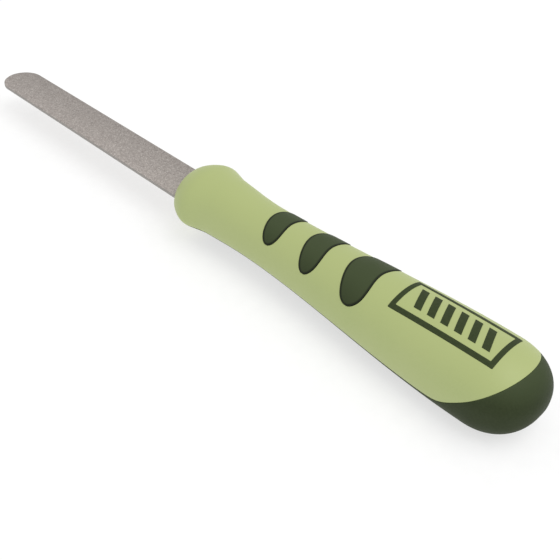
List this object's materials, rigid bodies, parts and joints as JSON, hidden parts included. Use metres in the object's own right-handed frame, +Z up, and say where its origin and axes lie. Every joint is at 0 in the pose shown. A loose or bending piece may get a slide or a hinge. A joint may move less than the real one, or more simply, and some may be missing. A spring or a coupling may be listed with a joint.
{
  "type": "hand nail file",
  "caption": "Pet nail file with a flat round-tipped abrasive strip and a contoured two-colour moulded handle with three inset grip pads and a soft underside.",
  "frame": {"origin": "centre of the file's length and width, at the height of the lowest point of the underside grip", "axes": "+X along the blade towards its tip, +Y across the file, +Z up out of the upper abrasive face, which is level"},
  "size_m": [0.1944, 0.0232, 0.0191],
  "materials": {
    "blade_steel": "bare ground edge of a thin stainless strip, satin",
    "abrasive_coat": "fine metallic grit bonded in plating, matte and speckled, warm grey",
    "body_plastic": "light yellow-green moulded plastic with a fine satin texture",
    "grip_rubber": "dark green soft-touch rubber, fine matte texture",
    "badge_ink": "dark green printed ink, matte, slightly raised"
  },
  "bodies": {
    "root": {"file_blade": "blade_steel", "abrasive_top": "abrasive_coat", "abrasive_bottom": "abrasive_coat", "handle_body": "body_plastic", "underside_grip": "grip_rubber", "grip_stripe_front": "grip_rubber", "grip_stripe_middle": "grip_rubber", "grip_stripe_rear": "grip_rubber", "badge_border": "badge_ink", "badge_mark": "badge_ink"}
  },
  "joints": []
}
